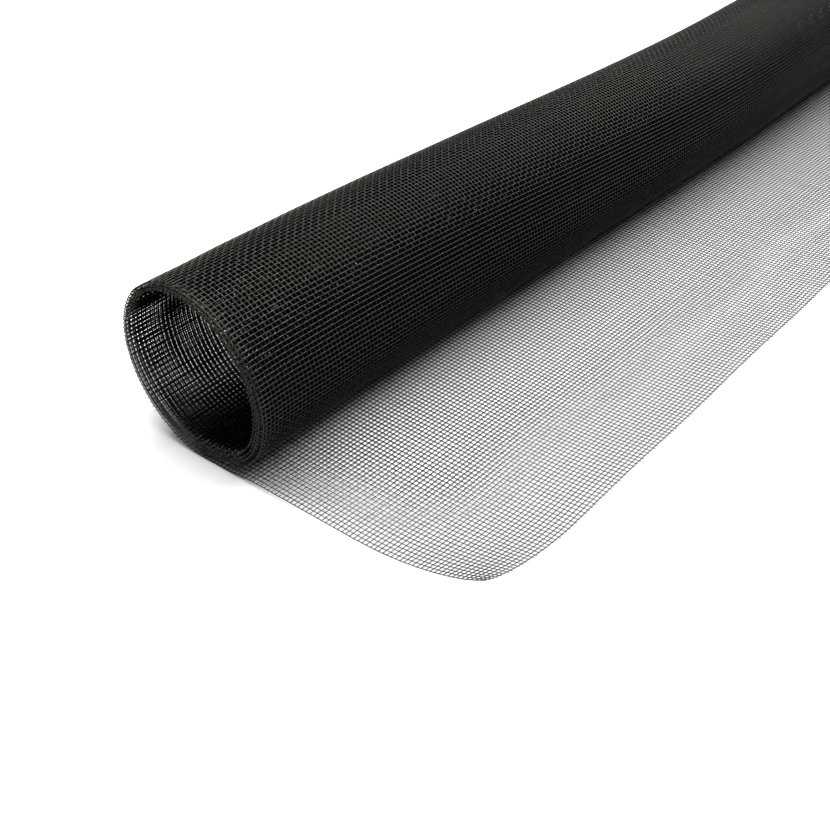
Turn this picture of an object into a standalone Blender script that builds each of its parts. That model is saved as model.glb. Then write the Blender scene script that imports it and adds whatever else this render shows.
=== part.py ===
"""A soft roll of black insect screen with its loose end lying flat in front of it.

The screen is one cut length of coated fibreglass mesh. About four turns of it are wound into
a slack tube that lies on its side, and the last stretch has been pulled out over the floor.
Both are one piece of cloth, so the whole thing is one closed solid: a hollow wound wall whose
underside runs on into a thin sheet.

Axes: +Y runs along the roll, +X points from the roll to the free edge of the loose end, and
+Z is up. The origin is on the floor, under the middle of the bounding box.
"""

import math

import bmesh
import bpy

MM = 0.001

# Cloth
CLOTH_WIDTH = 600.0 * MM
LOOSE_LENGTH = 97.2 * MM
SHEET_THICKNESS = 1.2 * MM
COATING_COLOUR = (0.014, 0.014, 0.013, 1.0)
COATING_ROUGHNESS = 0.45

# Outermost turn: an oval that leans towards the side away from the loose end
OVAL_LONG = 28.2 * MM
OVAL_SHORT = 24.8 * MM
OVAL_LEAN = math.radians(132.0)

# Turns: how many layers lie in the wall, and how far apart they are
LAYERS = 4
PITCH_MEAN = 0.92 * MM
PITCH_SWING = 0.36 * MM
PITCH_PHASE = math.radians(35.0)
LAYER_STEP = 0.12
INNER_END_ANGLE = math.radians(-97.0)
HALF_LAYER = 0.3 * MM
SETTLE = 0.2 * MM

# The roll gets thinner and swings towards the loose end along its first half
TAPER_LENGTH = 310.0 * MM
TAPER = 0.10
SWING = 8.9 * MM

# The corner and the free edge curl up a little
EDGE_CURL = (2.2 * MM, 42.0 * MM)
CORNER_CURL = (7.4 * MM, 45.0 * MM)
SIDE_CURL = (1.0 * MM, 40.0 * MM)
RIPPLE_HEIGHT = 0.7 * MM
RIPPLE_PERIOD = 75.0 * MM
RIPPLE_START = 30.0 * MM
RIPPLE_REACH = 60.0 * MM
CURL_CLEARANCE = 12.0 * MM

# Resolution of the faceted solid
LIP = 6.0 * MM
WALL_POINTS = 56
LOOSE_COLUMNS = 13
CURL_STATIONS = (0.0, 5.0, 11.0, 18.0, 26.0, 36.0, 48.0, 63.0)
STATION_SPACING = 24.0 * MM


def smooth(t):
    """Ease from 0 to 1 with level ends."""
    t = min(max(t, 0.0), 1.0)
    return t * t * (3.0 - 2.0 * t)


def fall(distance, reach):
    """A curl's share at a distance from its edge: 1 at the edge, 0 past its reach."""
    return max(0.0, 1.0 - distance / reach) ** 2


def oval_radius(angle):
    """Radius of the outermost turn, measured from the oval's centre."""
    lean = angle - OVAL_LEAN
    across = math.hypot(OVAL_SHORT * math.cos(lean), OVAL_LONG * math.sin(lean))
    return OVAL_LONG * OVAL_SHORT / across


def oval_half_height():
    """Half of the leaning oval's height."""
    return math.hypot(OVAL_LONG * math.sin(OVAL_LEAN), OVAL_SHORT * math.cos(OVAL_LEAN))


def oval_centre():
    """Centre of the oval that touches the floor at x = 0, sunk a little to give a flat spot."""
    height = oval_half_height()
    lowest_x = (OVAL_SHORT**2 - OVAL_LONG**2) * math.sin(OVAL_LEAN) * math.cos(OVAL_LEAN) / height
    return -lowest_x, height + HALF_LAYER - SETTLE


def layer_pitch(angle):
    """Distance between neighbouring layers: wide at the lower right, tight at the upper left."""
    return PITCH_MEAN + PITCH_SWING * math.cos(angle + PITCH_PHASE)


def contact_angle():
    """Direction from the oval's centre to the place where the roll touches the floor."""
    centre_x, centre_z = oval_centre()
    return math.atan2(-centre_z, -centre_x)


def layers_inside(angle):
    """Layers between the outermost one and the one met after winding clockwise to an angle.

    Each turn keeps its distance to the one outside it and steps one layer inwards over the
    last part of the turn, just before it comes down on the loose end.
    """
    turned = (contact_angle() - angle) / math.tau
    whole = math.floor(turned)
    return whole + smooth((turned - whole - 1.0 + LAYER_STEP) / LAYER_STEP)


def wound_radius(angle, offset):
    """Radius of the wound cloth at an unwrapped clockwise angle, with an offset outwards."""
    return oval_radius(angle) - layer_pitch(angle) * layers_inside(angle) + offset


def inner_angle(angle):
    """The innermost layer's unwrapped angle in the same direction as the outer one's."""
    last = INNER_END_ANGLE - LAYERS * math.tau
    return angle - math.tau * math.floor((angle - last) / math.tau)


def taper_share(along):
    """How far the taper and the swing have gone, at a distance from the near end."""
    return smooth(along / TAPER_LENGTH)


def wall_section(along):
    """Outer and inner outline of the wound wall, as lists of paired (x, z) points.

    The outer outline starts and ends at the lip, where the loose end leaves the roll: its
    first point is under the lip and its last one on top of it.
    """
    centre_x, centre_z = oval_centre()
    scale = 1.0 - TAPER * taper_share(along)
    shift = SWING * taper_share(along)
    start = math.atan2(-centre_z, LIP - centre_x)
    step = math.tau / WALL_POINTS
    outer = []
    inner = []
    for index in range(WALL_POINTS):
        angle = start - step * (index + 0.25)
        radius = wound_radius(angle, HALF_LAYER)
        x = centre_x + radius * math.cos(angle)
        z = centre_z + radius * math.sin(angle)
        on_floor = angle > contact_angle()
        outer.append((shift + scale * x, 0.0 if on_floor else max(0.0, scale * z)))
        radius = wound_radius(inner_angle(angle), -HALF_LAYER)
        x = centre_x + radius * math.cos(angle)
        z = centre_z + radius * math.sin(angle)
        inner.append((shift + scale * x, scale * z))
    outer[0] = (shift + scale * LIP, 0.0)
    outer[-1] = (shift + scale * LIP, SHEET_THICKNESS)
    return outer, inner


def loose_height(from_free, from_side, from_roll):
    """Height of the loose end's underside over the floor."""
    corner = fall(from_free, CORNER_CURL[1]) * fall(from_side, CORNER_CURL[1])
    ripple = 0.5 - 0.5 * math.cos(math.tau * (from_side - RIPPLE_START) / RIPPLE_PERIOD)
    if from_side < RIPPLE_START:
        ripple = 0.0
    height = EDGE_CURL[0] * fall(from_free, EDGE_CURL[1])
    height += CORNER_CURL[0] * corner
    height += SIDE_CURL[0] * fall(from_side, SIDE_CURL[1])
    height += RIPPLE_HEIGHT * ripple * fall(from_free, RIPPLE_REACH)
    return height * smooth(from_roll / CURL_CLEARANCE)


def curl_shortening(rise, reach, distance):
    """How far a curl draws the cloth in, because its length stays the same."""
    slope = 2.0 * rise / reach
    return slope**2 * reach / 6.0 * max(0.0, 1.0 - distance / reach) ** 3


def loose_section(along):
    """Underside of the loose end, as (x, y, z) points from the lip to the free edge."""
    share = taper_share(along)
    lip_x = SWING * share + (1.0 - TAPER * share) * LIP
    rise = EDGE_CURL[0] + CORNER_CURL[0] * fall(along, CORNER_CURL[1])
    points = []
    for column in range(1, LOOSE_COLUMNS + 1):
        x = lip_x + (LOOSE_LENGTH - lip_x) * column / LOOSE_COLUMNS
        from_free = LOOSE_LENGTH - x
        z = loose_height(from_free, along, x - lip_x)
        drawn_x = curl_shortening(rise, CORNER_CURL[1], from_free)
        side_rise = CORNER_CURL[0] * fall(from_free, CORNER_CURL[1])
        drawn_y = curl_shortening(side_rise, CORNER_CURL[1], along)
        points.append((x - drawn_x, along + drawn_y, z))
    return points


def stations():
    """Distances from the near end at which a section is taken."""
    places = [place * MM for place in CURL_STATIONS]
    rest = CLOTH_WIDTH - places[-1]
    count = round(rest / STATION_SPACING)
    places += [places[-1] + rest * (index + 1) / count for index in range(count)]
    return places


def add_section(bm, along):
    """Add one section's points; return its wall pairs and its loose end's pairs."""
    outer, inner = wall_section(along)
    outside = [bm.verts.new((x, along, z)) for x, z in outer]
    inside = [bm.verts.new((x, along, z)) for x, z in inner]
    under = [outside[0]]
    over = [outside[-1]]
    for x, y, z in loose_section(along):
        under.append(bm.verts.new((x, y, z)))
        over.append(bm.verts.new((x, y, z + SHEET_THICKNESS)))
    return outside, inside, under, over


def join_rows(bm, row, next_row, closed):
    """Fill the strip between the same row of points in two neighbouring sections."""
    count = len(row)
    for index in range(count if closed else count - 1):
        after = (index + 1) % count
        bm.faces.new((row[index], row[after], next_row[after], next_row[index]))


def cap_section(bm, section):
    """Close an end of the cloth: a ring across the wall and a strip across the loose end."""
    outside, inside, under, over = section
    for index in range(WALL_POINTS):
        after = (index + 1) % WALL_POINTS
        bm.faces.new((outside[index], outside[after], inside[after], inside[index]))
    for index in range(LOOSE_COLUMNS):
        bm.faces.new((under[index], under[index + 1], over[index + 1], over[index]))


def centre_on_floor(bm):
    """Move the solid so that the origin is under the middle of its box."""
    for axis in (0, 1):
        low = min(vertex.co[axis] for vertex in bm.verts)
        high = max(vertex.co[axis] for vertex in bm.verts)
        for vertex in bm.verts:
            vertex.co[axis] -= 0.5 * (low + high)


def coated_mesh_material():
    """Black coated fibreglass."""
    material = bpy.data.materials.new("black_coated_mesh")
    material.use_nodes = True
    shader = material.node_tree.nodes["Principled BSDF"]
    shader.inputs["Base Color"].default_value = COATING_COLOUR
    shader.inputs["Roughness"].default_value = COATING_ROUGHNESS
    shader.inputs["Metallic"].default_value = 0.0
    return material


def screen_cloth():
    """Loft the wound wall and the loose end through their sections as one closed solid."""
    bm = bmesh.new()
    sections = [add_section(bm, along) for along in stations()]
    for section, following in zip(sections, sections[1:]):
        outside, inside, under, over = range(4)
        join_rows(bm, section[outside], following[outside], closed=False)
        join_rows(bm, section[inside], following[inside], closed=True)
        join_rows(bm, section[under], following[under], closed=False)
        join_rows(bm, section[over], following[over], closed=False)
        free_edge = (section[under][-1], section[over][-1], following[over][-1], following[under][-1])
        bm.faces.new(free_edge)
    cap_section(bm, sections[0])
    cap_section(bm, sections[-1])
    bmesh.ops.recalc_face_normals(bm, faces=bm.faces)
    centre_on_floor(bm)
    mesh = bpy.data.meshes.new("screen_cloth")
    bm.to_mesh(mesh)
    bm.free()
    mesh.shade_smooth()
    mesh.set_sharp_from_angle(angle=math.radians(40.0))
    mesh.materials.append(coated_mesh_material())
    return bpy.data.objects.new("screen_cloth", mesh)


def clear_scene():
    """Remove what the file opens with."""
    for item in list(bpy.data.objects):
        bpy.data.objects.remove(item, do_unlink=True)


def main():
    """Build the roll in a collection of its own."""
    clear_scene()
    collection = bpy.data.collections.new("insect_screen_roll")
    bpy.context.scene.collection.children.link(collection)
    collection.objects.link(screen_cloth())


main()
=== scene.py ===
"""A slack roll of black insect screen with its loose end lying flat in front of it.

The cloth is an open plain weave, so every strand is modelled as a thin tube of its own: one
family runs round the roll and out along the loose end, the other lies parallel to the roll.
Both follow one surface, which is worked out from the roll's cross-section.

Axes: +Y runs along the roll, +X points from the roll to the free edge, +Z is up.
"""

import logging
import math
from dataclasses import dataclass, field
from enum import Enum

import bmesh
import bpy
import numpy as np
from mathutils import Matrix, Vector


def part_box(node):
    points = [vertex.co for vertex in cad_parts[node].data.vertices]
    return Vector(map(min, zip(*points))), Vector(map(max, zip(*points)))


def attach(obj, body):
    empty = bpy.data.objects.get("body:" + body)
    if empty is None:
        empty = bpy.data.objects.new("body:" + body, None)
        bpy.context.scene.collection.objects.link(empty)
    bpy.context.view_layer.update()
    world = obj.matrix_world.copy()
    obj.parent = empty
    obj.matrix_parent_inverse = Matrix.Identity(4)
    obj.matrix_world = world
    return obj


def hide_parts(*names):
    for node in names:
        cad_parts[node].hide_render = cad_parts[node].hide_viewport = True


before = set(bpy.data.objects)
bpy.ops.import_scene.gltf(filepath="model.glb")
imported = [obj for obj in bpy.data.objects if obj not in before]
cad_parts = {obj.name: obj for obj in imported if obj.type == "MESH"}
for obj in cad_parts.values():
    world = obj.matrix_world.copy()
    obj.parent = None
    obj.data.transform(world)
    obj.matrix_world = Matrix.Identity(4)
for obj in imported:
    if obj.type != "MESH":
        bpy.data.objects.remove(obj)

log = logging.getLogger("insect_screen_roll")

MM = 0.001
CLOTH_NODE = "screen_cloth"
BODY = "root"

# Share of a turn that keeps rounding from putting the contact line before the first turn
ROUNDING = 1e-9

# Cosine of a strand's phase where it starts to dip under the other family, and where it is down
DIP_COSINES = (-0.35, -0.95)


class Hold(Enum):
    """How a stretch of the cloth lies."""

    LOOSE = "laid"
    WOUND = "folded"


def smooth(t: np.ndarray) -> np.ndarray:
    """Ease from 0 to 1 with level ends."""
    t = np.clip(t, 0.0, 1.0)
    return t * t * (3.0 - 2.0 * t)


def fall(distance: np.ndarray, reach: float) -> np.ndarray:
    """A curl's share at a distance from its edge: 1 at the edge, 0 past its reach."""
    return np.maximum(0.0, 1.0 - distance / reach) ** 2


def curl_shortening(rise: np.ndarray, reach: float, distance: np.ndarray) -> np.ndarray:
    """How far a curl draws the cloth in, because its length stays the same."""
    slope = 2.0 * rise / reach
    return slope**2 * reach / 6.0 * np.maximum(0.0, 1.0 - distance / reach) ** 3


@dataclass(frozen=True)
class Weave:
    """Sizes of the open plain weave, in metres.

    Attributes:
        pitch_around: spacing of the strands that lie along the roll, measured round it.
        pitch_along: spacing of the strands that run round the roll, measured along it.
        strand_width: mean width of a coated strand as it is seen.
        sides: sides of a strand's tube.
        free_stub: how far cut strands stand out past the last crossing at the free edge.
        roll_stub: the same on the roll's ends.
        side_stub: the same on the loose end's sides.
        cut_spread: how unevenly the strands are cut, as a share of those lengths.
        cut_margin: how near the cloth's edges an open tube end is taken as cut.
        wander: how far a strand strays from its even place.
    """

    pitch_around: float = 1.411 * MM
    pitch_along: float = 1.574 * MM
    strand_width: float = 0.29 * MM
    sides: int = 4
    free_stub: float = 0.7 * MM
    roll_stub: float = 0.7 * MM
    side_stub: float = 0.2 * MM
    cut_spread: float = 0.6
    cut_margin: float = 1.74 * MM
    wander: float = 0.035 * MM

    def tube_radius(self) -> float:
        """Corner radius of a tube whose mean width, seen from all round, is the strand's."""
        perimeter = math.pi * self.strand_width
        return perimeter / (2.0 * self.sides * math.sin(math.pi / self.sides))


@dataclass(frozen=True)
class Wave:
    """A gentle wave along the roll, which is out of step from turn to turn.

    Attributes:
        length: distance along the roll over which its phase grows by one radian.
        shift: phase that each turn adds, in radians.
    """

    length: float
    shift: float

    def at(self, along: np.ndarray, turn: np.ndarray) -> np.ndarray:
        """Its height, from -1 to 1, at distances along the roll and numbers of turns."""
        return np.sin(along / self.length + self.shift * turn)


@dataclass
class ClothShape:
    """The surface that the cloth lies on: the wound turns and the loose end.

    A place on the cloth is given by its distance from the free edge and its distance from the
    near side. Lengths are in metres, angles in radians.

    Attributes:
        width: the cloth's width, which is the roll's length.
        loose_length: from the line where the roll touches the floor to the free edge.
        rest_height: height of the strands' centre lines over the floor.
        oval_long: longer half axis of the outermost turn's oval.
        oval_short: its shorter half axis.
        oval_lean: direction of its longer axis.
        settle: how far the oval is sunk to give a flat spot.
        layers: full turns in the winding.
        pitch_mean: mean distance between turns.
        pitch_swing: how much that distance grows and shrinks round the roll.
        pitch_phase: where round the roll it does.
        layer_step: share of a turn over which the cloth steps one layer inwards.
        inner_end_angle: where the cloth ends inside the roll.
        taper_length: length over which the roll gets thinner.
        taper: how much thinner it gets, as a share.
        swing: how far it swings towards the loose end.
        lip: where the loose end leaves the roll.
        edge_curl: rise and reach of the free edge's curl.
        corner_curl: the same of the corner's curl.
        side_curl: the same of the near side's curl.
        tip_curl: the same of the tighter curl at the corner's tip.
        ripple: height and period of the free edge's ripple.
        ripple_start: distance from the near side at which the ripple starts.
        ripple_reach: how far it reaches in from the free edge.
        curl_clearance: distance from the roll over which the curls come in.
        slack: how far slack turns stand out or in, as a share of the distance between them.
        end_slack: the same near the roll's two ends.
        end_reach: how far in the ends' slack and creep reach.
        slack_waves: waves of the slack.
        end_slack_wave: wave of the ends' slack.
        slack_onset: turns from the contact line over which the slack comes in.
        creep: how far the turns have slid along the roll.
        creep_wave: wave of the creep.
        creep_onset: turns from the contact line over which the creep comes in.
        end_creep: how far they have slid near the roll's two ends.
        end_creep_wave: wave of that.
        end_creep_start: turns from the contact line past which it comes in, over one turn.
        stretch: length of the wound cloth against its centre line's.
        shelter: turns from the contact line at which the cloth goes under the outer turn.
        end_unshaded_depth: depth from the roll's ends within which the inner turns get no painted
            shade.
        end_bulk: how much wider sheltered strands are drawn near the roll's ends.
        deep_bulk: the same deep in the roll.
        bulk_depth: depths between which it changes.
        table_step: about the angle between the places at which the winding is measured.
        contact_x: x of the line where the roll touches the floor at its near end.
        near_y: y of the near side.
        table_length: lengths of wound cloth, in rising order, to a little past its inner end.
        table_angle: unwrapped clockwise angles at those lengths.
    """

    width: float = 600.0 * MM
    loose_length: float = 97.2 * MM
    rest_height: float = 0.28 * MM

    oval_long: float = 28.2 * MM
    oval_short: float = 24.8 * MM
    oval_lean: float = math.radians(132.0)
    settle: float = 0.2 * MM

    layers: int = 4
    pitch_mean: float = 0.92 * MM
    pitch_swing: float = 0.36 * MM
    pitch_phase: float = math.radians(35.0)
    layer_step: float = 0.12
    inner_end_angle: float = math.radians(-97.0)

    taper_length: float = 310.0 * MM
    taper: float = 0.10
    swing: float = 8.9 * MM
    lip: float = 6.0 * MM

    edge_curl: tuple[float, float] = (2.2 * MM, 42.0 * MM)
    corner_curl: tuple[float, float] = (7.4 * MM, 45.0 * MM)
    side_curl: tuple[float, float] = (1.0 * MM, 40.0 * MM)
    tip_curl: tuple[float, float] = (0.7 * MM, 10.0 * MM)
    ripple: tuple[float, float] = (0.7 * MM, 75.0 * MM)
    ripple_start: float = 30.0 * MM
    ripple_reach: float = 60.0 * MM
    curl_clearance: float = 12.0 * MM

    slack: float = 0.10
    end_slack: float = 0.20
    end_reach: float = 90.0 * MM
    slack_waves: tuple[Wave, ...] = (Wave(13.0 * MM, 5.1), Wave(29.0 * MM, -9.7))
    end_slack_wave: Wave = Wave(4.6 * MM, 2.3)
    slack_onset: float = 0.15
    creep: float = 0.12 * MM
    creep_wave: Wave = Wave(17.0 * MM, 2.6)
    creep_onset: float = 0.3
    end_creep: float = 0.20 * MM
    end_creep_wave: Wave = Wave(4.1 * MM, 1.9)
    end_creep_start: float = 0.6
    stretch: float = 0.9985
    shelter: tuple[float, float] = (0.94, 1.02)
    end_unshaded_depth: float = 9.0 * MM
    end_bulk: float = 1.14
    deep_bulk: float = 1.42
    bulk_depth: tuple[float, float] = (40.0 * MM, 60.0 * MM)

    table_step: float = math.radians(0.25)
    contact_x: float = field(init=False)
    near_y: float = field(init=False)
    table_length: np.ndarray = field(init=False)
    table_angle: np.ndarray = field(init=False)

    def __post_init__(self) -> None:
        """Find the cloth's place in the frame and measure the winding."""
        low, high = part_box(CLOTH_NODE)
        self.contact_x = high[0] - self.loose_length
        self.near_y = low[1]
        spare = self.swing / (self.oval_short - (self.layers + 1) * self.pitch_mean)
        last = self.last_angle() - spare
        steps = int((self.contact_angle() - last) / self.table_step)
        self.table_angle = np.linspace(self.contact_angle(), last, steps + 1)
        x, z = self.section(self.table_angle, np.zeros(steps + 1))
        length = np.hypot(np.diff(x), np.diff(z))
        self.table_length = np.concatenate([[0.0], np.cumsum(length)]) / self.stretch

    def half_height(self) -> float:
        """Half of the leaning oval's height."""
        return math.hypot(
            self.oval_long * math.sin(self.oval_lean),
            self.oval_short * math.cos(self.oval_lean),
        )

    def centre(self) -> tuple[float, float]:
        """Find the centre of the oval whose lowest point is at x = 0.

        Returns:
            Its x and z, from the contact line and the floor.
        """
        height = self.half_height()
        lean = math.sin(self.oval_lean) * math.cos(self.oval_lean)
        lowest_x = (self.oval_short**2 - self.oval_long**2) * lean / height
        return -lowest_x, height + self.rest_height - self.settle

    def contact_angle(self) -> float:
        """Direction from the oval's centre to where the roll touches the floor."""
        centre_x, centre_z = self.centre()
        return math.atan2(-centre_z, -centre_x)

    def last_angle(self) -> float:
        """Unwrapped clockwise angle of the cloth's inner end, at the near end."""
        return self.inner_end_angle - self.layers * math.tau

    def section(self, angle: np.ndarray, swell: np.ndarray) -> tuple[np.ndarray, np.ndarray]:
        """The winding's centre line at the near end.

        Args:
            angle: unwrapped clockwise angles round the oval's centre.
            swell: how far a place stands out, as a share of the distance between layers.

        Returns:
            The x and z of each place, from the contact line and the floor.
        """
        lean = angle - self.oval_lean
        across = np.hypot(self.oval_short * np.cos(lean), self.oval_long * np.sin(lean))
        oval = self.oval_long * self.oval_short / across
        turned = (self.contact_angle() - angle) / math.tau + ROUNDING
        whole = np.floor(turned)
        inside = whole + smooth((turned - whole - 1.0 + self.layer_step) / self.layer_step)
        pitch = self.pitch_mean + self.pitch_swing * np.cos(angle + self.pitch_phase)
        radius = oval - pitch * (inside - swell)
        centre_x, centre_z = self.centre()
        return centre_x + radius * np.cos(angle), centre_z + radius * np.sin(angle)

    def wound_length(self) -> float:
        """Length of cloth in the winding, at the near end."""
        return float(np.interp(-self.last_angle(), -self.table_angle, self.table_length))

    def cloth_length(self) -> float:
        """Length of the whole cloth, from the free edge to the end inside the roll."""
        return self.loose_length + self.wound_length()

    def loose_height(
        self, from_free: np.ndarray, from_side: np.ndarray, from_roll: np.ndarray
    ) -> np.ndarray:
        """Height of the loose end over where it lies flat.

        Args:
            from_free: distances from the free edge.
            from_side: distances from the near side.
            from_roll: distances from where the loose end leaves the roll.

        Returns:
            The heights.
        """
        corner = fall(from_free, self.corner_curl[1]) * fall(from_side, self.corner_curl[1])
        wave = 0.5 - 0.5 * np.cos(math.tau * (from_side - self.ripple_start) / self.ripple[1])
        wave = np.where(from_side < self.ripple_start, 0.0, wave)
        height = self.edge_curl[0] * fall(from_free, self.edge_curl[1])
        height = height + self.corner_curl[0] * corner
        tip = fall(from_free, self.tip_curl[1]) * fall(from_side, self.tip_curl[1])
        height = height + self.tip_curl[0] * tip
        height = height + self.side_curl[0] * fall(from_side, self.side_curl[1])
        height = height + self.ripple[0] * wave * fall(from_free, self.ripple_reach)
        return height * smooth(from_roll / self.curl_clearance)

    def sheltered(self, cloth: np.ndarray) -> np.ndarray:
        """How far places lie under the outer turn: 0 outside, 1 inside.

        Args:
            cloth: distances from the free edge.

        Returns:
            The shares, of the same shape.
        """
        angle = np.interp(cloth - self.loose_length, self.table_length, self.table_angle)
        turn = (self.contact_angle() - angle) / math.tau
        return smooth((turn - self.shelter[0]) / (self.shelter[1] - self.shelter[0]))

    def exposure(self, cloth: np.ndarray, along: np.ndarray) -> np.ndarray:
        """How far a place is left without painted shade: 1 outside, 0 deep between the turns.

        Args:
            cloth: distances from the free edge.
            along: distances from the near side, of the same shape.

        Returns:
            The shares, of the same shape.
        """
        ends = fall(np.minimum(along, self.width - along), self.end_unshaded_depth)
        return np.maximum(1.0 - self.sheltered(cloth), ends)

    def bulk(self, cloth: np.ndarray, along: np.ndarray) -> np.ndarray:
        """How much wider than real a strand of the sheltered turns is drawn.

        The real turns are crimped and skewed against each other, and let less light through
        than even ones do. Wider strands make up for that.

        Args:
            cloth: distances from the free edge.
            along: distances from the near side, of the same shape.

        Returns:
            The multiples, of the same shape.
        """
        depth = np.minimum(along, self.width - along)
        deep = smooth((depth - self.bulk_depth[0]) / (self.bulk_depth[1] - self.bulk_depth[0]))
        wider = self.end_bulk + (self.deep_bulk - self.end_bulk) * deep
        return 1.0 + (wider - 1.0) * self.sheltered(cloth)

    def near_end_share(self, along: np.ndarray) -> np.ndarray:
        """How much a place feels the roll's nearest end: 1 at the end, 0 past its reach."""
        return fall(np.minimum(along, self.width - along), self.end_reach)

    def swell(self, along: np.ndarray, turn: np.ndarray) -> np.ndarray:
        """How far the slack turns stand out or in, as a share of the distance between layers.

        Args:
            along: distances from the near side.
            turn: turns from the contact line, of the same shape.

        Returns:
            The shares, of the same shape.
        """
        waves = sum(wave.at(along, turn) for wave in self.slack_waves) / len(self.slack_waves)
        ends = self.end_slack_wave.at(along, turn) * self.near_end_share(along)
        return (self.slack * waves + self.end_slack * ends) * smooth(turn / self.slack_onset)

    def slip(self, along: np.ndarray, turn: np.ndarray) -> np.ndarray:
        """How far the turns have slid along the roll against the loose end.

        Args:
            along: distances from the near side.
            turn: turns from the contact line, of the same shape.

        Returns:
            The distances slid, of the same shape.
        """
        drift = self.creep_wave.at(along, turn) - self.creep_wave.at(along, 0.0 * turn)
        slid = self.creep * drift * smooth(turn / self.creep_onset)
        ends = self.end_creep_wave.at(along, turn) * self.near_end_share(along)
        return slid + self.end_creep * ends * smooth(turn - self.end_creep_start)

    def place(self, cloth: np.ndarray, along: np.ndarray) -> np.ndarray:
        """Put places on the cloth into space.

        Args:
            cloth: distances from the free edge.
            along: distances from the near side, of the same shape.

        Returns:
            The points, with a last axis of three.
        """
        share = smooth(along / self.taper_length)
        scale = 1.0 - self.taper * share
        shift = self.swing * share

        flat_x = self.loose_length - cloth
        from_roll = flat_x - shift - scale * self.lip
        rise = self.edge_curl[0] + self.corner_curl[0] * fall(along, self.corner_curl[1])
        side_rise = self.corner_curl[0] * fall(cloth, self.corner_curl[1])
        loose_x = flat_x - curl_shortening(rise, self.corner_curl[1], cloth)
        loose_y = along + curl_shortening(side_rise, self.corner_curl[1], along)
        loose_z = self.rest_height + self.loose_height(cloth, along, from_roll)

        past = cloth - self.loose_length + shift
        angle = np.interp(past, self.table_length, self.table_angle)
        turn = (self.contact_angle() - angle) / math.tau
        x, z = self.section(angle, self.swell(along, turn))
        wound_y = along + self.slip(along, turn)
        wound_z = np.maximum(scale * z, self.rest_height)

        wound = past > 0.0
        points = np.empty(np.shape(along) + (3,))
        points[..., 0] = self.contact_x + np.where(wound, shift + scale * x, loose_x)
        points[..., 1] = self.near_y + np.where(wound, wound_y, loose_y)
        points[..., 2] = np.where(wound, wound_z, loose_z)
        return points


@dataclass
class StrandNet:
    """Centre lines of many strands, gathered as the edges of one wire mesh.

    Attributes:
        points: places on the strands, one array for each family.
        edges: pairs of places that are joined, by number.
        phase: how many crossings each place is along its strand.
        tone: the strand's own number from 0 to 1, at each place.
        outside: how much each place is left without painted shade; the rest is drawn shaded.
        bulk: how wide the strand is drawn there, as a multiple.
        count: places gathered so far.
    """

    points: list[np.ndarray] = field(default_factory=list)
    edges: list[np.ndarray] = field(default_factory=list)
    phase: list[np.ndarray] = field(default_factory=list)
    tone: list[np.ndarray] = field(default_factory=list)
    outside: list[np.ndarray] = field(default_factory=list)
    bulk: list[np.ndarray] = field(default_factory=list)
    count: int = 0

    def add(
        self,
        lines: np.ndarray,
        phase: np.ndarray,
        tone: np.ndarray,
        outside: np.ndarray,
        bulk: np.ndarray,
    ) -> None:
        """Add a family of strands with the same number of points.

        Args:
            lines: points, strands by places by three.
            phase: how many crossings a place is along its strand, strands by places.
            tone: one number from 0 to 1 for each strand.
            outside: how much a place is left without painted shade, strands by places.
            bulk: how wide the strand is drawn there, as a multiple, strands by places.
        """
        strands, places = phase.shape
        first = self.count + places * np.arange(strands)[:, None]
        step = np.arange(places - 1)[None]
        pairs = np.stack([first + step, first + step + 1], axis=-1)
        self.points.append(lines.reshape(-1, 3))
        self.edges.append(pairs.reshape(-1, 2))
        self.phase.append(phase.ravel())
        self.tone.append(np.repeat(tone, places))
        self.outside.append(outside.ravel())
        self.bulk.append(bulk.ravel())
        self.count += strands * places

    def wire(self, name: str) -> bpy.types.Object:
        """Make the wire mesh, with what the coating needs to know as attributes.

        Args:
            name: the object's name.

        Returns:
            The wire object.
        """
        points = np.concatenate(self.points)
        edges = np.concatenate(self.edges)
        mesh = bpy.data.meshes.new(name)
        mesh.vertices.add(len(points))
        mesh.vertices.foreach_set("co", points.astype(np.float32).ravel())
        mesh.edges.add(len(edges))
        mesh.edges.foreach_set("vertices", edges.astype(np.int32).ravel())
        for label, values in (
            ("weave_phase", self.phase),
            ("strand_tone", self.tone),
            ("unshaded", self.outside),
            ("bulk", self.bulk),
        ):
            attribute = mesh.attributes.new(label, "FLOAT", "POINT")
            attribute.data.foreach_set("value", np.concatenate(values).astype(np.float32))
        mesh.update()
        wire = bpy.data.objects.new(name, mesh)
        bpy.context.scene.collection.objects.link(wire)
        return wire


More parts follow.
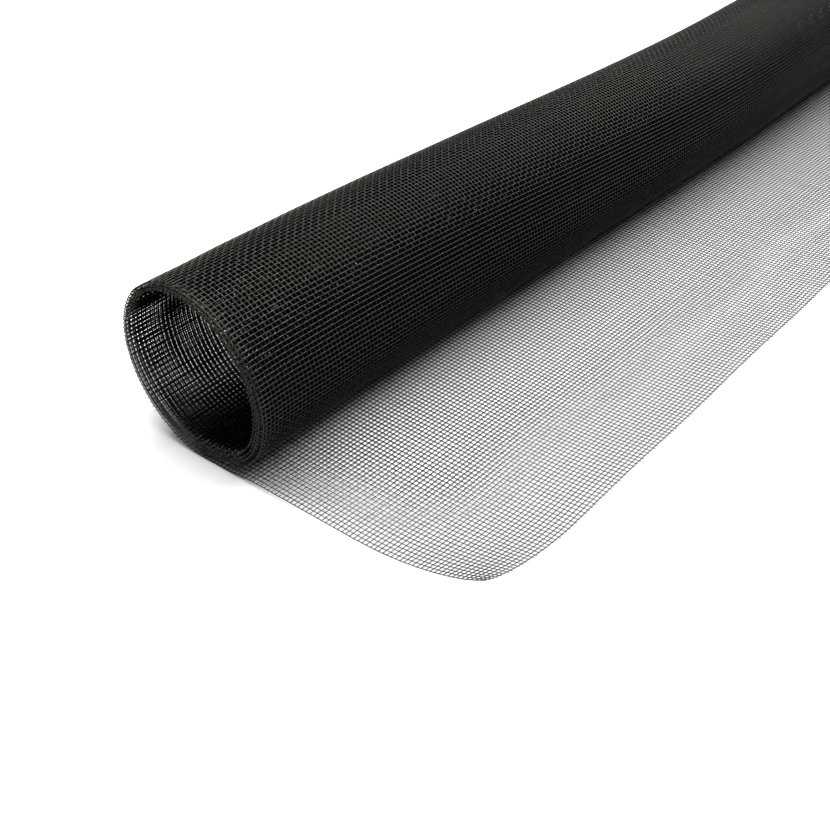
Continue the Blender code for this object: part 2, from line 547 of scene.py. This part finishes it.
def strand_tree() -> bpy.types.NodeTree:
    """Build the tree that gives each centre line a strand's tube.

    Returns:
        The geometry node tree.
    """
    tree = bpy.data.node_groups.new("Coated strands", "GeometryNodeTree")
    for label, kind, way in (
        ("Centre lines", "NodeSocketGeometry", "INPUT"),
        ("Strand radius", "NodeSocketFloat", "INPUT"),
        ("Sides", "NodeSocketInt", "INPUT"),
        ("Outer coating", "NodeSocketMaterial", "INPUT"),
        ("Sheltered coating", "NodeSocketMaterial", "INPUT"),
        ("Strands", "NodeSocketGeometry", "OUTPUT"),
    ):
        tree.interface.new_socket(name=label, in_out=way, socket_type=kind)
    nodes, links = tree.nodes, tree.links
    given = nodes.new("NodeGroupInput")
    lines = nodes.new("GeometryNodeMeshToCurve")
    profile = nodes.new("GeometryNodeCurvePrimitiveCircle")
    bulk = nodes.new("GeometryNodeInputNamedAttribute")
    bulk.data_type = "FLOAT"
    bulk.inputs["Name"].default_value = "bulk"
    tubes = nodes.new("GeometryNodeCurveToMesh")
    rounded = nodes.new("GeometryNodeSetShadeSmooth")
    realized = nodes.new("GeometryNodeRealizeInstances")
    sheltered = nodes.new("GeometryNodeSetMaterial")
    unshaded = nodes.new("GeometryNodeInputNamedAttribute")
    unshaded.data_type = "FLOAT"
    unshaded.inputs["Name"].default_value = "unshaded"
    # Mostly unshaded strands get the outer coating, the rest the sheltered one, a shaded copy whose
    # dull reflection is painted shade.
    mostly = nodes.new("FunctionNodeCompare")
    mostly.data_type = "FLOAT"
    mostly.operation = "GREATER_THAN"
    mostly.inputs["B"].default_value = 0.5
    outer = nodes.new("GeometryNodeSetMaterial")
    result = nodes.new("NodeGroupOutput")
    links.new(given.outputs["Centre lines"], lines.inputs["Mesh"])
    links.new(given.outputs["Strand radius"], profile.inputs["Radius"])
    links.new(given.outputs["Sides"], profile.inputs["Resolution"])
    links.new(lines.outputs["Curve"], tubes.inputs["Curve"])
    links.new(profile.outputs["Curve"], tubes.inputs["Profile Curve"])
    links.new(bulk.outputs["Attribute"], tubes.inputs["Scale"])
    links.new(tubes.outputs["Mesh"], rounded.inputs["Geometry"])
    links.new(rounded.outputs["Geometry"], realized.inputs["Geometry"])
    links.new(realized.outputs["Geometry"], sheltered.inputs["Geometry"])
    links.new(given.outputs["Sheltered coating"], sheltered.inputs["Material"])
    links.new(unshaded.outputs["Attribute"], mostly.inputs["A"])
    links.new(sheltered.outputs["Geometry"], outer.inputs["Geometry"])
    links.new(mostly.outputs["Result"], outer.inputs["Selection"])
    links.new(given.outputs["Outer coating"], outer.inputs["Material"])
    links.new(outer.outputs["Geometry"], result.inputs["Strands"])
    return tree


def socket_id(tree: bpy.types.NodeTree, label: str) -> str:
    """Find the identifier of a tree's named input.

    Args:
        tree: the geometry node tree.
        label: the input's name.

    Returns:
        The socket's identifier.
    """
    for item in tree.interface.items_tree:
        if item.name == label and item.in_out == "INPUT":
            return item.identifier
    raise KeyError(label)


def weave_relief_group() -> bpy.types.NodeTree:
    """Build the shader group that turns a strand's phase into its ups and downs.

    Its outputs are a height, 1 over a crossing and 0 under one, and a mask of the stretches
    that dip under the other family.

    Returns:
        The shader group.
    """
    group = bpy.data.node_groups.new("Weave relief", "ShaderNodeTree")
    group.interface.new_socket(name="Phase", in_out="INPUT", socket_type="NodeSocketFloat")
    group.interface.new_socket(name="Height", in_out="OUTPUT", socket_type="NodeSocketFloat")
    group.interface.new_socket(name="Dip", in_out="OUTPUT", socket_type="NodeSocketFloat")
    nodes, links = group.nodes, group.links
    given = nodes.new("NodeGroupInput")
    result = nodes.new("NodeGroupOutput")
    angle = nodes.new("ShaderNodeMath")
    angle.operation = "MULTIPLY"
    angle.inputs[1].default_value = math.pi
    wave = nodes.new("ShaderNodeMath")
    wave.operation = "COSINE"
    height = nodes.new("ShaderNodeMapRange")
    height.inputs["From Min"].default_value = -1.0
    dip = nodes.new("ShaderNodeMapRange")
    dip.interpolation_type = "SMOOTHSTEP"
    dip.inputs["From Min"].default_value = DIP_COSINES[0]
    dip.inputs["From Max"].default_value = DIP_COSINES[1]
    links.new(given.outputs["Phase"], angle.inputs[0])
    links.new(angle.outputs[0], wave.inputs[0])
    links.new(wave.outputs[0], height.inputs["Value"])
    links.new(wave.outputs[0], dip.inputs["Value"])
    links.new(height.outputs["Result"], result.inputs["Height"])
    links.new(dip.outputs["Result"], result.inputs["Dip"])
    return group


@dataclass(frozen=True)
class StrandCoating:
    """Finish of the coated strands: a smooth black plastic skin over glass yarn.

    Attributes:
        name: the material's name.
        colour: painted shade of the turns inside the roll, far darker than the coating's own colour.
        unshaded: the coating's own colour, on the outer turn and the loose end, where no shade is
            painted.
        dusty: the colour of unshaded strands that have picked up more dust.
        roughness: roughness of clean and of dusty coating.
        specular: the coating's specular level.
        sheen_tint: colour of its highlights, which are a little olive.
        patch_scale: scale of the noise that spreads the dust in patches.
        patch_detail: detail of that noise.
        relief: height of a strand's ups and downs in the weave, in metres.
        dip_painted_shade: painted shade where a strand dips under another; there its colour goes to
            this share of the inner colour.
    """

    name: str = "Black coated strand, outside"
    colour: tuple[float, float, float] = (0.001, 0.001, 0.001)
    unshaded: tuple[float, float, float] = (0.012, 0.012, 0.011)
    dusty: tuple[float, float, float] = (0.040, 0.040, 0.036)
    roughness: tuple[float, float] = (0.15, 0.25)
    specular: float = 0.70
    sheen_tint: tuple[float, float, float] = (1.0, 1.0, 0.88)
    patch_scale: float = 35.0
    patch_detail: float = 4.0
    relief: float = 0.12 * MM
    dip_painted_shade: float = 0.35

    def material(self, relief: bpy.types.NodeTree) -> bpy.types.Material:
        """Build the material.

        Args:
            relief: the weave relief shader group.

        Returns:
            The material for every strand.
        """
        material = bpy.data.materials.new(self.name)
        material.use_nodes = True
        nodes, links = material.node_tree.nodes, material.node_tree.links
        shader = nodes["Principled BSDF"]
        shader.inputs["Specular IOR Level"].default_value = self.specular
        shader.inputs["Specular Tint"].default_value = (*self.sheen_tint, 1.0)
        phase = nodes.new("ShaderNodeAttribute")
        phase.attribute_name = "weave_phase"
        tone = nodes.new("ShaderNodeAttribute")
        tone.attribute_name = "strand_tone"
        weave = nodes.new("ShaderNodeGroup")
        weave.node_tree = relief
        links.new(phase.outputs["Fac"], weave.inputs["Phase"])

        place = nodes.new("ShaderNodeTexCoord")
        patches = nodes.new("ShaderNodeTexNoise")
        patches.inputs["Scale"].default_value = self.patch_scale
        patches.inputs["Detail"].default_value = self.patch_detail
        links.new(place.outputs["Object"], patches.inputs["Vector"])
        share = nodes.new("ShaderNodeMath")
        share.operation = "MULTIPLY"
        links.new(tone.outputs["Fac"], share.inputs[0])
        links.new(patches.outputs["Fac"], share.inputs[1])

        skin = nodes.new("ShaderNodeMix")
        skin.data_type = "RGBA"
        skin.inputs["A"].default_value = (*self.unshaded, 1.0)
        skin.inputs["B"].default_value = (*self.dusty, 1.0)
        links.new(share.outputs[0], skin.inputs["Factor"])
        # Painted shade: deep between the turns the colour goes over to the much darker inner colour.
        unshaded = nodes.new("ShaderNodeAttribute")
        unshaded.attribute_name = "unshaded"
        painted_shade_mix = nodes.new("ShaderNodeMix")
        painted_shade_mix.data_type = "RGBA"
        painted_shade_mix.inputs["A"].default_value = (*self.colour, 1.0)
        links.new(unshaded.outputs["Fac"], painted_shade_mix.inputs["Factor"])
        links.new(skin.outputs["Result"], painted_shade_mix.inputs["B"])
        # Painted shade where a strand dips under the crossing one: its colour drops almost to black
        # there.
        under = nodes.new("ShaderNodeMix")
        under.data_type = "RGBA"
        under.inputs["B"].default_value = tuple(self.dip_painted_shade * c for c in self.colour) + (1.0,)
        links.new(weave.outputs["Dip"], under.inputs["Factor"])
        links.new(painted_shade_mix.outputs["Result"], under.inputs["A"])
        links.new(under.outputs["Result"], shader.inputs["Base Color"])

        gloss = nodes.new("ShaderNodeMapRange")
        gloss.inputs["To Min"].default_value = self.roughness[0]
        gloss.inputs["To Max"].default_value = self.roughness[1]
        links.new(share.outputs[0], gloss.inputs["Value"])
        links.new(gloss.outputs["Result"], shader.inputs["Roughness"])

        bump = nodes.new("ShaderNodeBump")
        bump.inputs["Distance"].default_value = self.relief
        links.new(weave.outputs["Height"], bump.inputs["Height"])
        links.new(bump.outputs["Normal"], shader.inputs["Normal"])
        return material


@dataclass
class ScreenStretch:
    """One stretch of the cloth, made strand by strand.

    Attributes:
        name: the piece's name.
        shape: the surface that the cloth lies on.
        weave: the weave's sizes.
        cloth: from which to which distance from the free edge it reaches.
        along: from which to which distance from the near side it reaches.
        hold: how it lies, which chooses the stub of the strands that lie along the roll.
        around_places: places along each strand that runs round the roll.
        along_places: places along each strand that lies along the roll.
    """

    name: str
    shape: ClothShape
    weave: Weave
    cloth: tuple[float, float]
    along: tuple[float, float]
    hold: Hold
    around_places: np.ndarray
    along_places: np.ndarray

    def rows(self) -> np.ndarray:
        """Number the strands that run round the roll in this stretch.

        Returns:
            Their numbers, counted from the cloth's near side.
        """
        total = int((self.shape.width - 2.0 * self.weave.roll_stub) / self.weave.pitch_along) + 1
        numbers = np.arange(total)
        places = self.row_place(numbers)
        return numbers[(places >= self.along[0]) & (places < self.along[1])]

    def columns(self) -> np.ndarray:
        """Number the strands that lie along the roll in this stretch.

        Returns:
            Their numbers, counted from the free edge.
        """
        reach = self.shape.cloth_length() - 2.0 * self.weave.free_stub
        numbers = np.arange(int(reach / self.weave.pitch_around) + 1)
        places = self.column_place(numbers)
        return numbers[(places >= self.cloth[0]) & (places < self.cloth[1])]

    def row_place(self, numbers: np.ndarray) -> np.ndarray:
        """Distance from the near side of strands that run round the roll."""
        return self.weave.roll_stub + numbers * self.weave.pitch_along

    def column_place(self, numbers: np.ndarray) -> np.ndarray:
        """Distance from the free edge of strands that lie along the roll."""
        return self.weave.free_stub + numbers * self.weave.pitch_around

    def add_around(self, net: StrandNet, rng: np.random.Generator) -> None:
        """Add the strands that run round the roll.

        Args:
            net: where they are gathered.
            rng: source of their small differences.
        """
        numbers = self.rows()
        cloth = np.tile(self.around_places, (len(numbers), 1))
        if self.cloth[0] == 0.0:
            spread = self.weave.cut_spread * self.weave.free_stub
            cloth[:, 0] = rng.uniform(0.0, spread, len(numbers))
        along = np.tile(self.row_place(numbers)[:, None], (1, cloth.shape[1]))
        along = along + rng.normal(0.0, self.weave.wander, (len(numbers), 1))
        phase = (cloth - self.weave.free_stub) / self.weave.pitch_around + numbers[:, None]
        self.lay(net, rng, cloth, along, phase)

    def add_along(self, net: StrandNet, rng: np.random.Generator) -> None:
        """Add the strands that lie along the roll.

        Args:
            net: where they are gathered.
            rng: source of their small differences.
        """
        numbers = self.columns()
        along = np.tile(self.along_places, (len(numbers), 1))
        stub = self.weave.side_stub if self.hold is Hold.LOOSE else self.weave.roll_stub
        spread = rng.uniform(0.0, self.weave.cut_spread * stub, (2, len(numbers)))
        if self.along[0] == 0.0:
            along[:, 0] = self.weave.roll_stub - stub + spread[0]
        if self.along[1] == self.shape.width:
            along[:, -1] = self.shape.width - self.weave.roll_stub + stub - spread[1]
        cloth = np.tile(self.column_place(numbers)[:, None], (1, along.shape[1]))
        cloth = cloth + rng.normal(0.0, self.weave.wander, (len(numbers), 1))
        phase = (along - self.weave.roll_stub) / self.weave.pitch_along + numbers[:, None] + 1.0
        self.lay(net, rng, cloth, along, phase)

    def lay(
        self,
        net: StrandNet,
        rng: np.random.Generator,
        cloth: np.ndarray,
        along: np.ndarray,
        phase: np.ndarray,
    ) -> None:
        """Put a family of strands into space and add them, each with a tone of its own.

        Args:
            net: where they are gathered.
            rng: source of their tones.
            cloth: distances from the free edge, strands by places.
            along: distances from the near side, strands by places.
            phase: how many crossings a place is along its strand, strands by places.
        """
        net.add(
            self.shape.place(cloth, along),
            phase,
            rng.random(len(cloth)),
            self.shape.exposure(cloth, along),
            self.shape.bulk(cloth, along),
        )

    def build(
        self, tree: bpy.types.NodeTree, coatings: list[bpy.types.Material], seed: int
    ) -> bpy.types.Object:
        """Args:
            tree: the tree that turns centre lines into strands.
            coatings: the materials of unshaded strands and of sheltered ones, a shaded copy with dull
                reflection.
            seed: seed for the strands' small differences.

        Returns:
            The finished piece.
        """
        net = StrandNet()
        rng = np.random.default_rng(seed)
        self.add_around(net, rng)
        self.add_along(net, rng)
        wire = net.wire(self.name + "_lines")
        strands = wire.modifiers.new("strands", "NODES")
        strands.node_group = tree
        strands[socket_id(tree, "Strand radius")] = self.weave.tube_radius()
        strands[socket_id(tree, "Sides")] = self.weave.sides
        strands[socket_id(tree, "Outer coating")] = coatings[0]
        strands[socket_id(tree, "Sheltered coating")] = coatings[1]
        shown = wire.evaluated_get(bpy.context.evaluated_depsgraph_get())
        mesh = bpy.data.meshes.new_from_object(shown)
        mesh.name = self.name
        piece = bpy.data.objects.new(self.name, mesh)
        bpy.context.scene.collection.objects.link(piece)
        bpy.data.objects.remove(wire, do_unlink=True)
        self.close_cut_ends(mesh)
        self.declare(piece)
        triangles = sum(len(polygon.vertices) - 2 for polygon in mesh.polygons)
        log.info("%s: %d triangles", self.name, triangles)
        return piece

    def close_cut_ends(self, mesh: bpy.types.Mesh) -> None:
        """Close the tubes at the cloth's own edges; ends that meet the next stretch stay open.

        The roll's cut ends have slid with its turns, by up to twice the creep and the ends'
        creep. The free edge is drawn in by its curl, so the margin is doubled there. At the
        inner end other open ends are close by, so only those within half a stub of it count.

        Args:
            mesh: the stretch's mesh.
        """
        shape = self.shape
        bm = bmesh.new()
        bm.from_mesh(mesh)
        rims = [edge for edge in bm.edges if edge.is_boundary]
        points = np.array([edge.verts[0].co for edge in rims])
        along = points[:, 1] - shape.near_y
        inner_end = shape.place(np.full(len(rims), shape.cloth_length()), along)
        to_inner_end = np.hypot(*(points - inner_end)[:, [0, 2]].T)
        side = 2.0 * shape.creep + shape.end_creep + self.weave.cut_margin
        at_edge = (along < side) | (along > shape.width - side)
        free_edge = shape.contact_x + shape.loose_length
        at_edge |= points[:, 0] > free_edge - 2.0 * self.weave.cut_margin
        at_edge |= to_inner_end < 0.5 * self.weave.free_stub
        cut = [rims[number] for number in np.flatnonzero(at_edge)]
        bmesh.ops.holes_fill(bm, edges=cut, sides=self.weave.sides)
        bm.to_mesh(mesh)
        bm.free()

    def declare(self, piece: bpy.types.Object) -> None:
        """Attach the piece to its body and hide the cloth's part, which it stands in for.

        Args:
            piece: the stretch's object.
        """
        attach(piece, BODY)
        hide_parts(CLOTH_NODE)


@dataclass
class ScreenCloth:
    """The whole cloth, in stretches that stay small enough to handle.

    Attributes:
        shape: the surface that it lies on.
        weave: the weave's sizes.
        outer: finish of the unshaded strands.
        sheltered: finish of the strands inside the roll, a shaded copy of the outer one whose weak,
            dull reflection is painted shade.
        turn_places: places on each turn of a strand that runs round the roll.
        loose_places: places on such a strand's loose end.
        loose_bounds: distances from the near side between which the loose end is split.
        wound_bounds: the same for the roll.
        close_spacing: spacing of places along the roll, near its ends.
        wide_spacing: the same elsewhere.
        seed: seed of the first stretch's small differences; the next ones count on from it.
    """

    shape: ClothShape
    weave: Weave
    outer: StrandCoating
    sheltered: StrandCoating
    turn_places: int = 40
    loose_places: int = 26
    loose_bounds: tuple[float, ...] = (0.0, 300.0 * MM, 600.0 * MM)
    wound_bounds: tuple[float, ...] = (0.0, 100.0 * MM, 240.0 * MM, 360.0 * MM, 500.0 * MM, 600.0 * MM)
    close_spacing: float = 4.5 * MM
    wide_spacing: float = 15.0 * MM
    seed: int = 11

    def stations(self, start: float, end: float) -> np.ndarray:
        """Choose places along the roll, closer together near its two ends.

        Args:
            start: first distance from the near side.
            end: last distance from it.

        Returns:
            The distances, both ends included.
        """
        reach = self.shape.end_reach
        ends = np.array([0.0, reach, self.shape.width - reach, self.shape.width])
        counts = [reach / self.close_spacing, (self.shape.width - 2.0 * reach) / self.wide_spacing]
        numbers = np.cumsum([0.0, counts[0], counts[1], counts[0]])
        first, last = np.interp([start, end], ends, numbers)
        steps = np.linspace(first, last, math.ceil(last - first) + 1)
        return np.interp(steps, numbers, ends)

    def stretches(self) -> list[ScreenStretch]:
        """Split the loose end and the roll into stretches along the roll.

        Returns:
            The stretches, those of the loose end first.
        """
        shape = self.shape
        edge = shape.loose_length
        inner = shape.cloth_length()
        from_edge = np.linspace(0.0, edge, self.loose_places + 1)
        first, last = shape.contact_angle(), shape.last_angle()
        count = round((first - last) / math.tau * self.turn_places)
        angles = np.linspace(first, last, count + 1)
        lengths = edge + np.interp(-angles, -shape.table_angle, shape.table_length)
        found = []
        for label, cloth, bounds, hold, places in (
            ("loose_screen", (0.0, edge), self.loose_bounds, Hold.LOOSE, from_edge),
            ("wound_screen", (edge, inner), self.wound_bounds, Hold.WOUND, lengths),
        ):
            for number, along in enumerate(zip(bounds, bounds[1:]), start=1):
                found.append(
                    ScreenStretch(
                        name=f"{label}_{number}",
                        shape=shape,
                        weave=self.weave,
                        cloth=cloth,
                        along=along,
                        hold=hold,
                        around_places=places,
                        along_places=self.stations(*along),
                    )
                )
        return found

    def build(self) -> list[bpy.types.Object]:
        """Make every stretch of the cloth.

        Returns:
            The pieces.
        """
        tree = strand_tree()
        relief = weave_relief_group()
        coatings = [self.outer.material(relief), self.sheltered.material(relief)]
        made = []
        for seed, stretch in enumerate(self.stretches(), start=self.seed):
            made.append(stretch.build(tree, coatings, seed))
        return made


@dataclass(frozen=True)
class Softbox:
    """A soft light that faces the object.

    Attributes:
        name: the light's name.
        place: middle of the box, in metres from the object's origin.
        size: width across the roll and depth along it, in metres.
        power: light given off, in watts.
        colour: tint of the light.
    """

    name: str
    place: tuple[float, float, float]
    size: tuple[float, float]
    power: float
    colour: tuple[float, float, float] = (1.0, 1.0, 1.0)

    def hang(self) -> None:
        """Add the light and turn it towards the object."""
        light = bpy.data.lights.new(self.name, "AREA")
        light.shape = "RECTANGLE"
        light.size, light.size_y = self.size
        light.energy = self.power
        light.color = self.colour
        box = bpy.data.objects.new(self.name, light)
        box.location = self.place
        x, y, z = self.place
        box.rotation_euler = (-math.asin(y / math.hypot(x, y, z)), math.atan2(x, z), 0.0)
        bpy.context.scene.collection.objects.link(box)


@dataclass(frozen=True)
class Studio:
    """Pale floor and soft light.

    Attributes:
        floor_size: side of the square floor, in metres.
        floor_colour: its colour.
        floor_roughness: its roughness.
        floor_specular: its specular level.
        world_colour: colour of the surround.
        world_strength: brightness of the surround.
        overhead: the main light.
        back: the weaker light behind the object.
    """

    floor_size: float = 6.0
    floor_colour: tuple[float, float, float] = (0.68, 0.68, 0.68)
    floor_roughness: float = 0.6
    floor_specular: float = 0.2
    world_colour: tuple[float, float, float] = (0.95, 0.96, 1.0)
    world_strength: float = 0.48
    overhead: Softbox = Softbox("Overhead softbox", (0.0, 0.0, 1.25), (1.8, 1.4), 33.0)
    back: Softbox = Softbox("Back softbox", (0.10, 1.45, 1.20), (1.2, 0.9), 8.0)

    def floor(self) -> None:
        """Lay the floor under the object."""
        mesh = bpy.data.meshes.new("floor")
        half = 0.5 * self.floor_size
        corners = [(-half, -half, 0.0), (half, -half, 0.0), (half, half, 0.0), (-half, half, 0.0)]
        mesh.from_pydata(corners, [], [(0, 1, 2, 3)])
        floor = bpy.data.objects.new("floor", mesh)
        bpy.context.scene.collection.objects.link(floor)
        material = bpy.data.materials.new("Pale floor")
        material.use_nodes = True
        shader = material.node_tree.nodes["Principled BSDF"]
        shader.inputs["Base Color"].default_value = (*self.floor_colour, 1.0)
        shader.inputs["Roughness"].default_value = self.floor_roughness
        shader.inputs["Specular IOR Level"].default_value = self.floor_specular
        mesh.materials.append(material)

    def lights(self) -> None:
        """Hang the soft lights in an even pale surround, and set how the picture is toned."""
        world = bpy.data.worlds.new("Pale surround")
        world.use_nodes = True
        surround = world.node_tree.nodes["Background"]
        surround.inputs["Color"].default_value = (*self.world_colour, 1.0)
        surround.inputs["Strength"].default_value = self.world_strength
        bpy.context.scene.world = world
        self.overhead.hang()
        self.back.hang()
        bpy.context.scene.view_settings.view_transform = "Standard"
        bpy.context.scene.view_settings.look = "High Contrast"


@dataclass(frozen=True)
class PhotoCamera:
    """Camera that stands where the photograph was taken.

    Attributes:
        place: from the roll's contact line at its near end, in metres.
        azimuth: degrees from +Y towards -X.
        elevation: degrees down from level.
        tilt: degrees that the camera is turned about its own line of sight.
        lens: focal length in millimetres.
        sensor: width of the sensor in millimetres.
        nearest: distance from which the camera sees, in metres.
    """

    place: tuple[float, float, float] = (219.6 * MM, -188.1 * MM, 229.1 * MM)
    azimuth: float = 37.706
    elevation: float = 36.75
    tilt: float = 1.123
    lens: float = 55.87
    sensor: float = 36.0
    nearest: float = 0.01

    def stand(self, shape: ClothShape) -> None:
        """Add the camera and make it the scene's.

        Args:
            shape: the cloth's surface, for the place of its contact line.
        """
        camera = bpy.data.cameras.new("Photo camera")
        camera.lens = self.lens
        camera.sensor_width = self.sensor
        camera.clip_start = self.nearest
        camera.dof.use_dof = False
        stand = bpy.data.objects.new("Photo camera", camera)
        bpy.context.scene.collection.objects.link(stand)
        turn = Matrix.Rotation(math.radians(self.azimuth), 4, "Z")
        turn = turn @ Matrix.Rotation(math.radians(90.0 - self.elevation), 4, "X")
        turn = turn @ Matrix.Rotation(math.radians(self.tilt), 4, "Z")
        contact = Vector((shape.contact_x, shape.near_y, 0.0))
        stand.matrix_world = Matrix.Translation(contact + Vector(self.place)) @ turn
        bpy.context.scene.camera = stand


def main() -> None:
    """Build the studio and the cloth, and log the cloth's length and its number of pieces."""
    logging.basicConfig(level=logging.INFO, format="%(name)s: %(message)s")
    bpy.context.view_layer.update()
    shape = ClothShape()
    studio = Studio()
    studio.floor()
    studio.lights()
    PhotoCamera().stand(shape)
    # Painted shade: the sheltered coating copies the outer one with weak, dull reflection, for the
    # strands between the turns.
    sheltered = StrandCoating("Black coated strand, inside", specular=0.12, roughness=(0.55, 0.65))
    cloth = ScreenCloth(shape, Weave(), StrandCoating(), sheltered)
    made = cloth.build()
    log.info("cloth length %.1f mm, in %d pieces", shape.cloth_length() / MM, len(made))


if __name__ == "__main__":
    main()
